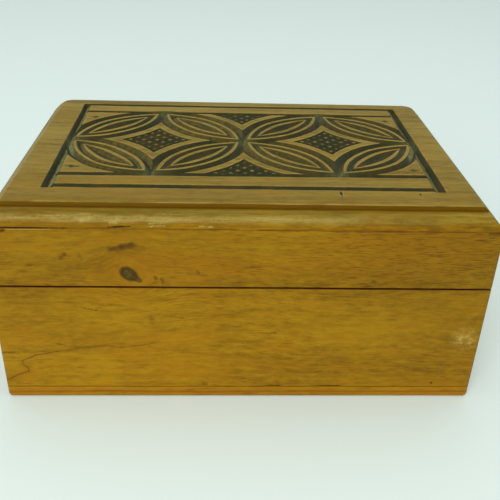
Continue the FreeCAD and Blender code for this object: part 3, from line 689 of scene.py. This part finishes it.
def petalCuts(u, v, unit, corner, inside):
    # a gouge round each petal, a ring and a hollow heart in it, drawn together towards the petal's two ends
    c = carving
    radius = c["circle"]
    tip = c["gouge"][1]
    widest = radius * (1 - math.sqrt(0.5)) - tip
    middle = (unit + corner) / 2
    petalX = np.abs(u - middle)
    petalY = np.abs(np.abs(v) - radius / 2)
    slant = np.where((u > unit) == (v > 0), -1, 1) * np.where(u > middle, 1, -1)
    slant = slant * np.sign(v - np.where(v > 0, 0.5, -0.5) * radius)
    lengthwise = np.abs(petalX + slant * petalY) / math.sqrt(2)
    crosswise = np.abs(petalX - slant * petalY) / math.sqrt(2)
    halfWidth = np.sqrt(np.clip((radius - tip) ** 2 - lengthwise ** 2, 0, None)) - radius * math.sqrt(0.5)
    share = np.clip(1 - crosswise / np.clip(halfWidth, c["leastHalf"], None), 0, 1)
    ringPlace, heartPlace = [
        np.where(inside > tip, tip + (1 - pull) * (inside - tip) + pull * widest * share, inside)
        for pull in (c["ringTaper"], c["heartTaper"])]
    depth = vee(inside, *c["gouge"], c["gougeDepth"])
    depth = np.maximum(depth, vee(ringPlace, *c["ring"], c["ringDepth"]))
    return np.maximum(depth, np.clip((heartPlace - c["heart"]) * c["heartSlope"], 0, c["heartDepth"]))


def studCuts(u, v, y, unit, inCircle, inside, uneven):
    # studs left between crossed cuts in the diamonds, and where the diamonds are
    c = carving
    radius, pitch, half = c["circle"], c["studPitch"], c["studPitch"] / 2
    across = u - np.where(inCircle > 0, unit, 0)
    upward = v - np.where(inCircle > 0, 0, np.sign(v) * radius)
    cuts = c["studSink"] + c["studUneven"] * np.abs(uneven)
    for turned in ((across + upward) / math.sqrt(2), (across - upward) / math.sqrt(2)):
        off = np.abs((turned + half) % pitch - half)
        cuts = np.maximum(cuts, np.clip((off - c["studTop"]) / (half - c["studTop"]), 0, 1))
    within = np.clip((c["diamondEdge"] - inside) / c["diamondSoft"], 0, 1)
    rim = within * np.clip((inside - c["diamondEdge"] + c["studRim"]) / c["diamondSoft"], 0, 1)
    field = within * (np.abs(u) < 1.5 * radius) * np.clip(c["grooves"][2][1] - c["studGap"] - y, 0, 1)
    return field * c["studDepth"] * np.maximum(cuts, rim), field


def frameCuts(x, y, sway):
    # deep gouges at the two sides, grooves along the front and back
    c = carving
    sideOuter = c["panelX"] + c["lean"] * y
    sideInner = sideOuter - c["sideGouge"] - c["sideTaper"] * y
    fromMiddle = np.abs(x - c["middle"][0]) + c["sideSway"] * sway[:, 0]
    ends = np.clip(np.minimum(y - c["panelFront"], c["panelBack"] - y) / c["panelSoft"], 0, 1)
    depth = ends * vee(fromMiddle, sideInner, sideOuter, c["gougeDepth"], c["sideDeepest"])
    for low, high, tilt in c["grooves"]:
        place = y + c["grooveSway"] * sway[:, 1] - tilt * x
        cut = vee(place, low, high, c["grooveDepth"], c["grooveDeepest"])
        depth = np.maximum(depth, cut * (fromMiddle < (sideInner + sideOuter) / 2))
    return depth


def cutDepth(x, y):
    c = carving
    radius = c["circle"]
    sway = noiseField(x, y, c["wobbleLength"], 0.0) * c["wobble"]
    fine = noiseField(x, y, c["fineLength"], 5.0)
    u = x - c["middle"][0] + sway[:, 0]
    v = y - c["middle"][1] + sway[:, 1]
    for placeX, placeY, shiftX, shiftY, reach in c["slips"]:
        near = np.exp(-((x - placeX) ** 2 + (y - placeY) ** 2) / reach ** 2)
        u = u - shiftX * near
        v = v - shiftY * near
    u, v = u / c["stretch"][0], v / c["stretch"][1]
    unit = np.where(u < 0, -radius, radius)
    corner = unit + np.where(u > unit, radius, -radius)
    inCircle = radius - np.hypot(u - unit, v)
    inCorner = radius - np.hypot(u - corner, v - np.where(v > 0, radius, -radius))
    inside = np.minimum(inCircle, inCorner)     # distance inside a petal, less than zero outside it
    uneven = noiseField(x, y, c["studPitch"], 2.0)[:, 2]
    studs, field = studCuts(u, v, y, unit, inCircle, inside, uneven)
    pattern = (np.abs(v) < radius - c["gouge"][0]) & (np.abs(u) < 2 * radius + 1)
    depth = np.where(pattern, np.maximum(petalCuts(u, v, unit, corner, inside), studs), 0)
    depth = np.maximum(depth, frameCuts(x, y, sway))
    for placeX, placeY in c["chips"]:
        away = np.abs(x - placeX) / c["chipSize"][0] + np.abs(y - placeY) / c["chipSize"][1]
        chip = np.clip(c["chipReach"] - away + c["chipRagged"] * fine[:, 2], 0, 1)
        depth = np.maximum(depth, c["chipDepth"] * chip)
    rough = c["fineDepth"] * fine[:, 1] * (depth > c["fineDepth"])
    depth = depth * (1 + c["fineShare"] * fine[:, 0]) + rough
    depth = np.clip(depth, 0, None) * ((y > c["panelFront"]) & (y < c["panelBack"]))
    for placeX, placeY, wide, tall, deep in c["dents"]:
        away = np.hypot((x - placeX) / wide, (y - placeY) / tall)
        depth = np.maximum(depth, deep * np.clip(1 - away, 0, 1))
    # how near a place is to where the petals' tips meet
    toMiddle = np.hypot(np.minimum(np.abs(u), np.abs(np.abs(u) - 2 * radius)), v)
    toRim = np.hypot(np.abs(u) - radius, np.abs(v) - radius)
    crossing = np.exp(-(np.minimum(toMiddle, toRim) / c["crossingReach"]) ** 2)
    return depth, field * pattern, crossing


def edgeProfile(high, foot):
    # from the lower outer edge inwards: inset at the front and back, inset at the ends, height
    p = topBoard
    ledge = high - p["stepHeight"]
    radius = p["edgeRadius"]
    start = ledge - radius
    rows = [(0.0, foot), (0.0, start)]
    for i in range(1, p["roundSteps"] + 1):
        angle = math.pi / 2 * i / p["roundSteps"]
        rows.append((radius * (1 - math.cos(angle)), start + radius * math.sin(angle)))
    soft, flat, toe = p["stepSoft"], p["flatInset"], p["stepFoot"]
    rows += [(flat - toe, ledge), (flat, ledge + toe), (flat, high - soft),
             (flat + 0.3 * soft, high - 0.3 * soft), (flat + soft, high), (flat + p["rimWidth"], high)]
    # the ends are planed straight from the flat's edge down to the walls; the rows stay a hair apart there
    land = foot + p["endLand"]
    ends = [inset if z == high else max(0.0, flat * (z - land) / (high - land)) + 0.004 * i
            for i, (inset, z) in enumerate(rows)]
    return [row[0] for row in rows], ends, [row[1] for row in rows]


def cellLines(low, high, coarse):
    # fine lines over the carved panel, wider over its plain bands
    lines = [low]
    while lines[-1] < high - 1e-9:
        wide = any(a < lines[-1] < b for a, b in coarse)
        lines.append(min(lines[-1] + (topBoard["bandCell"] if wide else topBoard["cell"]), high))
    return lines


def boardLines(low, high, insets, endInsets):
    # where the sheet's columns and rows lie
    p, c = topBoard, carving
    grooves = c["grooves"]
    bands = [(grooves[0][1] + p["bandGap"], grooves[1][0] - p["tiltGap"]),
             (grooves[2][1] + p["bandGap"], grooves[3][0] - p["bandGap"])]
    reach = c["panelX"] + c["lean"] * c["panelBack"] + c["middle"][0] + p["margin"]
    xLines = [low.x + inset for inset in endInsets] + cellLines(-reach, reach, [])
    xLines += [high.x - inset for inset in reversed(endInsets)]
    yLines = [low.y + inset for inset in insets]
    yLines += cellLines(c["panelFront"] - p["frontMargin"], c["panelBack"] + p["margin"], bands)
    yLines += [high.y - inset for inset in reversed(insets)]
    return np.array(xLines), np.array(yLines)


def roundCorners(x, y, ring, high, insets, endInsets):
    # the square corner of each ring is drawn onto an arc, small at the front and larger at the back
    p = topBoard
    ledgeRing = p["roundSteps"] + 1
    frontSoft = [p["frontCorner"][0 if i < 2 else 1] for i in range(len(insets))]
    backSoft = [p["backCorner"][0] + p["backCorner"][1] * i if i <= ledgeRing
                else max(p["flatCornerRound"] - insets[i] + p["flatInset"], p["leastRound"])
                for i in range(len(insets))]
    inner = [p["innerRound"]]
    soft = np.where(y > 0, np.array(backSoft + inner)[ring], np.array(frontSoft + inner)[ring])
    cornerX = high.x - np.array(endInsets + [0.0])[ring]
    cornerY = high.y - np.array(insets + [0.0])[ring]
    fromX = np.clip(1 - (cornerX - np.abs(x)) / soft, 0, 1)
    fromY = np.clip(1 - (cornerY - np.abs(y)) / soft, 0, 1)
    moved = (ring < len(insets)) & (fromX > 0) & (fromY > 0)
    arcX = np.sign(x) * (cornerX - soft + soft * fromX * np.sqrt(1 - fromY ** 2 / 2))
    arcY = np.sign(y) * (cornerY - soft + soft * fromY * np.sqrt(1 - fromX ** 2 / 2))
    return np.where(moved, arcX, x), np.where(moved, arcY, y)


def besideCuts(x, y, depth, row, column):
    # how near a cut an uncut place of the pattern is
    p, c = topBoard, carving
    table = np.zeros((row.max() + 1, column.max() + 1))
    table[row, column] = depth
    for axis in (0, 1, 0, 1):
        around = np.maximum(np.roll(table, 1, axis), np.roll(table, -1, axis))
        table = np.maximum(table, p["besideFade"] * around)
    inPattern = (y > c["grooves"][1][0]) & (y < c["grooves"][2][1])
    inPattern = inPattern & (np.abs(x) < c["panelX"] - c["sideGouge"])
    return np.clip(table[row, column], 0, 1) * (depth < p["uncut"]) * inPattern


def closeUnderside(low, high, wallTop):
    # the rim goes in to the field that sits between the lid walls, and the field is filled
    bpy.ops.object.mode_set(mode="EDIT")
    bpy.ops.mesh.select_mode(type="EDGE")
    bpy.ops.mesh.select_all(action="DESELECT")
    bpy.ops.mesh.select_non_manifold()
    bpy.ops.mesh.extrude_region_move()
    shrink = [1 - topBoard["fieldInset"] / half for half in (high.x, high.y)]
    bpy.ops.transform.resize(value=(*shrink, 1), center_override=(0, 0, wallTop * mm))
    bpy.ops.mesh.extrude_region_move(TRANSFORM_OT_translate={"value": (0, 0, (low.z - wallTop) * mm)})
    bpy.ops.mesh.edge_face_add()
    bpy.ops.object.mode_set(mode="OBJECT")


def makeTopBoard():
    p = topBoard
    low, high = boxOf("top_board")
    wallTop = seams["board"]["height"]
    insets, endInsets, heights = edgeProfile(high.z, wallTop)
    xLines, yLines = boardLines(low, high, insets, endInsets)
    lastColumn, lastRow = len(xLines) - 1, len(yLines) - 1
    bpy.ops.object.select_all(action="DESELECT")
    bpy.ops.mesh.primitive_grid_add(x_subdivisions=lastColumn, y_subdivisions=lastRow, size=1)
    board = bpy.context.object
    board.name = "carved_top_board"
    spots = readPoints(board)
    column = np.rint((spots[:, 0] + 0.5) * lastColumn).astype(int)
    row = np.rint((spots[:, 1] + 0.5) * lastRow).astype(int)
    x, y = xLines[column], yLines[row]
    # rings are counted from the outer edge inwards
    ring = np.minimum(np.minimum(column, lastColumn - column), np.minimum(row, lastRow - row))
    ring = np.minimum(ring, len(heights))
    depth, studded, crossing = cutDepth(x, y)
    sway = p["sway"] * noiseField(x, y, p["swayLength"], 9.0)[:, 0]
    z = np.array(heights + [high.z])[ring] - depth + sway * (ring > 1)
    x, y = roundCorners(x, y, ring, high, insets, endInsets)
    writePoints(board, np.stack([x, y, z], 1))
    beside = besideCuts(x, y, depth, row, column)
    fields = {"cut": depth, "beside": beside, "studded": studded, "crossing": crossing}
    for name, values in fields.items():
        board.data.attributes.new(name, "FLOAT", "POINT").data.foreach_set("value", values)
    closeUnderside(low, high, wallTop)
    finishPiece(board, "top_board", "lid", carved, p["smoothAngle"])
    print("top board carved,", len(board.data.polygons), "faces")


makeTopBoard()


# Walls and bottom board: slabs with worn edges
wallForm = {"rabbet": 4.5, "upright": 0.9, "seam": 0.25, "innerSeam": 0.15, "joint": 0.13, "cell": 2.5,
            "wear": 0.09, "support": 0.8, "overcut": 2.0, "smoothAngle": 35}
bottomForm = {"upright": 1.0, "lower": 1.1, "lowerEnds": 2.0, "upper": 0.3, "segments": 5, "cell": 3.0,
              "wear": 0.12}
floorGroove = {"low": 13.2, "high": 17.2, "deep": 3.0}
runnerGroove = {"low": 7.6, "high": 11.2, "deep": 2.8, "left": -50.4, "right": 80.4}
hingeRoom = {"places": (-52.0, 52.0), "half": 14.1, "leaf": 8.1, "deep": 1.0, "axisInset": 0.18,
             "radius": 2.2, "barrelHalf": 14.8, "above": 3.0, "behind": 2.0, "sides": 48}
# slow and quick rubbing: how often, how strong, and the level above which the quick one bites
wear = {"near": 1.2, "edge": 0.7, "least": 0.55, "slow": (0.13, 0.9), "quick": (0.55, 0.7, 0.25),
        "lostSoft": 2.0, "lostHeight": 0.6, "lostReach": 3.0, "ragged": (0.75, 0.5, 0.6)}
# places where a wall's edge has lost some wood: start, end, which edge, how much
lostEdges = {"lid_front_wall": [(-92.0, -68.5, "top", 0.3), (-92.0, -61.0, "top", 0.15)],
             "base_front_wall": [(7.6, 15.4, "bottom", 0.6), (28.4, 38.8, "bottom", 0.7),
                                 (57.4, 61.4, "bottom", 0.4)]}
touch = 0.01                                    # places closer than this are the same
mostly = 0.9                                    # a direction with this share of an axis runs along it


def startSlab(name, low, high):
    bpy.ops.object.select_all(action="DESELECT")
    bpy.ops.mesh.primitive_cube_add(size=1)
    piece = bpy.context.object
    piece.name = name
    piece.location = (Vector(low) + Vector(high)) / 2 * mm
    piece.scale = (Vector(high) - Vector(low)) * mm
    bpy.ops.object.transform_apply(location=True, rotation=True, scale=True)
    return piece


def pick(piece, test):
    # select the faces whose middle passes the test
    bpy.ops.mesh.select_mode(type="FACE")
    bpy.ops.mesh.select_all(action="DESELECT")
    mesh = bmesh.from_edit_mesh(piece.data)
    for face in mesh.faces:
        face.select_set(test(face.calc_center_median() / mm))
    mesh.select_flush_mode()
    bmesh.update_edit_mesh(piece.data)


def cutAcross(axis, places):
    way = [0, 0, 0]
    way[axis] = 1
    for place in places:
        bpy.ops.mesh.select_all(action="SELECT")
        bpy.ops.mesh.bisect(plane_co=[w * place * mm for w in way], plane_no=way)


def cutEvenly(axis, low, high, cell):
    count = int((high - low) / cell)
    cutAcross(axis, [low + (high - low) * i / count for i in range(1, count)])


def bevelEdges(piece, width, share, segments=3):
    # share tells how much of the width each edge gets, from its middle and its direction
    weights = piece.data.attributes.new("bevel_weight_edge", "FLOAT", "EDGE")
    for edge in piece.data.edges:
        start, end = [piece.data.vertices[i].co / mm for i in edge.vertices]
        weights.data[edge.index].value = share((start + end) / 2, (end - start).normalized())
    bevel = piece.modifiers.new("bevel", "BEVEL")
    bevel.width = width * mm
    bevel.segments = segments
    bevel.limit_method = "WEIGHT"
    bpy.ops.object.modifier_apply(modifier="bevel")


def rubAt(spot):
    often, strength = wear["slow"]
    rub = wear["least"] + strength * noise.noise(spot * often)
    often, strength, level = wear["quick"]
    return max(0.0, rub + strength * max(0.0, noise.noise(spot * often) - level))


def wearEdges(piece, low, high, amount, lost, outward):
    # edges rubbed unevenly, a little everywhere and more where wood is lost
    spots = readPoints(piece) / mm
    low, high = np.array(low), np.array(high)
    gaps = np.minimum(spots - low, high - spots)
    inward = np.where(spots - low < high - spots, 1.0, -1.0) * (gaps < wear["near"])
    onEdge = np.clip(1 - np.sort(gaps, axis=1)[:, 1] / wear["edge"], 0, 1)
    rub = np.array([rubAt(Vector(spot)) for spot in spots])
    spots += inward * (amount * onEdge * rub)[:, None]
    least, uneven, often = wear["ragged"]
    for start, end, edge, deep in lost:
        window = np.clip(np.minimum(spots[:, 0] - start, end - spots[:, 0]) / wear["lostSoft"], 0, 1)
        near = (spots[:, 2] - low[2] if edge == "bottom" else high[2] - spots[:, 2]) < wear["lostHeight"]
        outer = np.clip(1 - np.abs(spots[:, 1] - outward) / wear["lostReach"], 0, 1)
        ragged = [least + uneven * noise.noise(Vector((x * often, 3.0, 1.0))) for x in spots[:, 0]]
        spots[:, 2] += window * near * outer * deep * ragged * (1 if edge == "bottom" else -1)
    writePoints(piece, spots)


def cutAway(piece, cutter):
    trim = piece.modifiers.new("trim", "BOOLEAN")
    trim.operation = "DIFFERENCE"
    trim.solver = "EXACT"
    trim.object = cutter
    activate(piece)
    bpy.ops.object.modifier_apply(modifier="trim")
    bpy.data.objects.remove(cutter)


def hingeCutters(back, seam, down):
    # a mortise for each leaf and a round channel for each barrel
    room = hingeRoom
    axis = back - room["axisInset"]
    heights = sorted((seam + down * room["deep"], seam - down * room["above"]))
    cutters = []
    for x in room["places"]:
        cutters.append(startSlab("cutter", (x - room["half"], axis - room["leaf"], heights[0]),
                                 (x + room["half"], back + room["behind"], heights[1])))
        bpy.ops.object.select_all(action="DESELECT")
        bpy.ops.mesh.primitive_cylinder_add(radius=room["radius"] * mm, depth=2 * room["barrelHalf"] * mm,
                                            vertices=room["sides"], location=(x * mm, axis * mm, seam * mm),
                                            rotation=(0, math.pi / 2, 0))
        bpy.ops.object.transform_apply(location=True, rotation=True, scale=True)
        cutters.append(bpy.context.object)
    return cutters


def makeLongWall(node, body, material):
    f = wallForm
    low, high = boxOf(node)
    side = -1 if low.y < 0 else 1
    outer, inner = (low.y, high.y) if side < 0 else (high.y, low.y)
    shoulder = inner + side * f["rabbet"]
    thick = high.y - low.y
    slabLow = (low.x, min(outer, shoulder), low.z)
    slabHigh = (high.x, max(outer, shoulder), high.z)
    piece = startSlab("worn_" + node, slabLow, slabHigh)
    # the thicker middle behind the rabbets
    bpy.ops.object.mode_set(mode="EDIT")
    cutAcross(0, (low.x + thick, high.x - thick))
    pick(piece, lambda middle: abs(middle.y - shoulder) < touch and abs(middle.x) < high.x - thick)
    bpy.ops.mesh.extrude_region_move(TRANSFORM_OT_translate={"value": (0, (inner - shoulder) * mm, 0)})
    bpy.ops.object.mode_set(mode="OBJECT")

    def share(middle, way):
        atOuter = abs(middle.y - outer) < touch
        atEnd = abs(abs(middle.x) - high.x) < touch
        if abs(way.z) > mostly:
            return 1.0 if atOuter else f["joint"] / f["upright"] if atEnd else 0.0
        return f["seam"] / f["upright"] if atOuter or atEnd or abs(middle.y - inner) < touch else 0.0

    bevelEdges(piece, f["upright"], share)
    bpy.ops.object.mode_set(mode="EDIT")
    cutEvenly(0, low.x, high.x, f["cell"])
    cutAcross(2, (low.z + f["support"], high.z - f["support"]))
    bpy.ops.object.mode_set(mode="OBJECT")
    wearEdges(piece, slabLow, slabHigh, f["wear"], lostEdges.get(node, []), outer)
    cutters = []
    if body == "base":
        for groove, ends in ((floorGroove, (low.x + thick, high.x - thick)),
                             (runnerGroove, (runnerGroove["left"], runnerGroove["right"]))):
            reach = sorted((inner - side * f["overcut"], inner + side * groove["deep"]))
            cutters.append(startSlab("cutter", (ends[0], reach[0], groove["low"]),
                                     (ends[1], reach[1], groove["high"])))
    if side > 0:
        cutters += hingeCutters(outer, seams["saw"]["height"], -1 if body == "base" else 1)
    for cutter in cutters:
        cutAway(piece, cutter)
    activate(piece)
    finishPiece(piece, node, body, material, f["smoothAngle"])


def makeEndWall(node, body, material):
    f = wallForm
    low, high = boxOf(node)
    side = -1 if low.x < 0 else 1
    outer, inner = (low.x, high.x) if side < 0 else (high.x, low.x)
    piece = startSlab("worn_" + node, low, high)

    def share(middle, way):
        if abs(middle.x - outer) > touch:
            return f["innerSeam"] / f["upright"] if abs(way.y) > mostly else 0.0
        return (f["joint"] if abs(way.z) > mostly else f["seam"]) / f["upright"]

    bevelEdges(piece, f["upright"], share)
    bpy.ops.object.mode_set(mode="EDIT")
    cutEvenly(1, low.y, high.y, f["cell"])
    cutAcross(2, (low.z + f["support"], high.z - f["support"]))
    bpy.ops.object.mode_set(mode="OBJECT")
    wearEdges(piece, low, high, f["wear"], [], outer)
    if body == "base":
        half = high.y - f["rabbet"] + floorGroove["deep"]
        reach = sorted((inner - side * f["overcut"], inner + side * floorGroove["deep"]))
        cutAway(piece, startSlab("cutter", (reach[0], -half, floorGroove["low"]),
                                 (reach[1], half, floorGroove["high"])))
    activate(piece)
    finishPiece(piece, node, body, material, f["smoothAngle"])


def makeBottomBoard():
    f = bottomForm
    low, high = boxOf("bottom_board")
    piece = startSlab("worn_bottom_board", low, high)

    def share(middle, way):
        if abs(way.z) > mostly:
            return f["upright"] / f["lowerEnds"]
        if middle.z > high.z / 2:
            return f["upper"] / f["lowerEnds"]
        return f["lower"] / f["lowerEnds"] if abs(way.x) > mostly else 1.0

    bevelEdges(piece, f["lowerEnds"], share, f["segments"])
    bpy.ops.object.mode_set(mode="EDIT")
    cutEvenly(0, low.x, high.x, f["cell"])
    bpy.ops.object.mode_set(mode="OBJECT")
    wearEdges(piece, low, high, f["wear"], [], low.y)
    activate(piece)
    finishPiece(piece, "bottom_board", "bottom", bottomFinish, wallForm["smoothAngle"])


for body in ("base", "lid"):
    makeLongWall(body + "_front_wall", body, frontWood)
    makeLongWall(body + "_back_wall", body, longWood)
    makeEndWall(body + "_left_wall", body, crossWood)
    makeEndWall(body + "_right_wall", body, crossWood)
makeBottomBoard()
print("walls and bottom board made")


# Floor, light and camera; floor and lamps in metres, the camera's place in millimetres
stage = {"floorSize": 8.0, "floor": (237, 254, 248), "floorRoughness": 0.9, "floorSpecular": 0.1,
         "sky": (218, 236, 229), "skyLight": 0.52}
lamps = {"key": {"place": (-0.5, -1.35, 0.95), "aim": (0, -0.05, 0.03), "size": 1.1, "power": 16.0},
         "top": {"place": (0.1, 0.3, 1.5), "aim": (0, 0, 0.05), "size": 1.4, "power": 4.0}}
camera = {"place": (-8.797, -268.622, 183.949), "yaw": 2.877, "pitch": 29.656, "roll": 1.968, "lens": 49.44,
          "sensor": 36.0, "nearest": 0.01}


def makeFloor():
    bpy.ops.object.select_all(action="DESELECT")
    bpy.ops.mesh.primitive_plane_add(size=stage["floorSize"])
    floor = bpy.context.object
    floor.name = "floor"
    finish = {"Base Color": tone(*stage["floor"]), "Roughness": stage["floorRoughness"],
              "Specular IOR Level": stage["floorSpecular"]}
    floor.data.materials.append(startMaterial("paleFloor", finish)[0])


def makeLight():
    world = bpy.data.worlds.new("studio")
    bpy.context.scene.world = world
    world.use_nodes = True
    tree = world.node_tree
    tree.nodes.clear()
    path = addNode(tree, "LightPath").outputs
    seen = calc(tree, "MAXIMUM", path["Is Camera Ray"], path["Is Glossy Ray"])
    light = addNode(tree, "Background", {"Color": (1, 1, 1, 1), "Strength": stage["skyLight"]})
    sky = addNode(tree, "Background", {"Color": tone(*stage["sky"]), "Strength": 1.0})
    mix = addNode(tree, "MixShader", {0: seen, 1: light.outputs[0], 2: sky.outputs[0]})
    addNode(tree, "OutputWorld", {0: mix.outputs[0]})
    for name, lamp in lamps.items():
        bpy.ops.object.light_add(type="AREA", location=lamp["place"])
        made = bpy.context.object
        made.name = name + "_light"
        made.data.size = lamp["size"]
        made.data.energy = lamp["power"]
        aim = Vector(lamp["aim"]) - Vector(lamp["place"])
        made.rotation_euler = aim.to_track_quat("-Z", "Y").to_euler()


def makeCamera():
    yaw, pitch, roll = [math.radians(camera[turn]) for turn in ("yaw", "pitch", "roll")]
    level = Vector((math.cos(yaw), -math.sin(yaw), 0))
    forward = Vector((math.sin(yaw) * math.cos(pitch), math.cos(yaw) * math.cos(pitch), -math.sin(pitch)))
    upright = level.cross(forward)
    right = math.cos(roll) * level + math.sin(roll) * upright
    up = math.cos(roll) * upright - math.sin(roll) * level
    bpy.ops.object.camera_add()
    made = bpy.context.object
    turn = Matrix((right, up, -forward)).transposed().to_4x4()
    made.matrix_world = Matrix.Translation(Vector(camera["place"]) * mm) @ turn
    made.data.lens = camera["lens"]
    made.data.sensor_width = camera["sensor"]
    made.data.clip_start = camera["nearest"]
    bpy.context.scene.camera = made


makeFloor()
makeLight()
makeCamera()
bpy.context.scene.view_settings.view_transform = "Standard"
print("stage set")
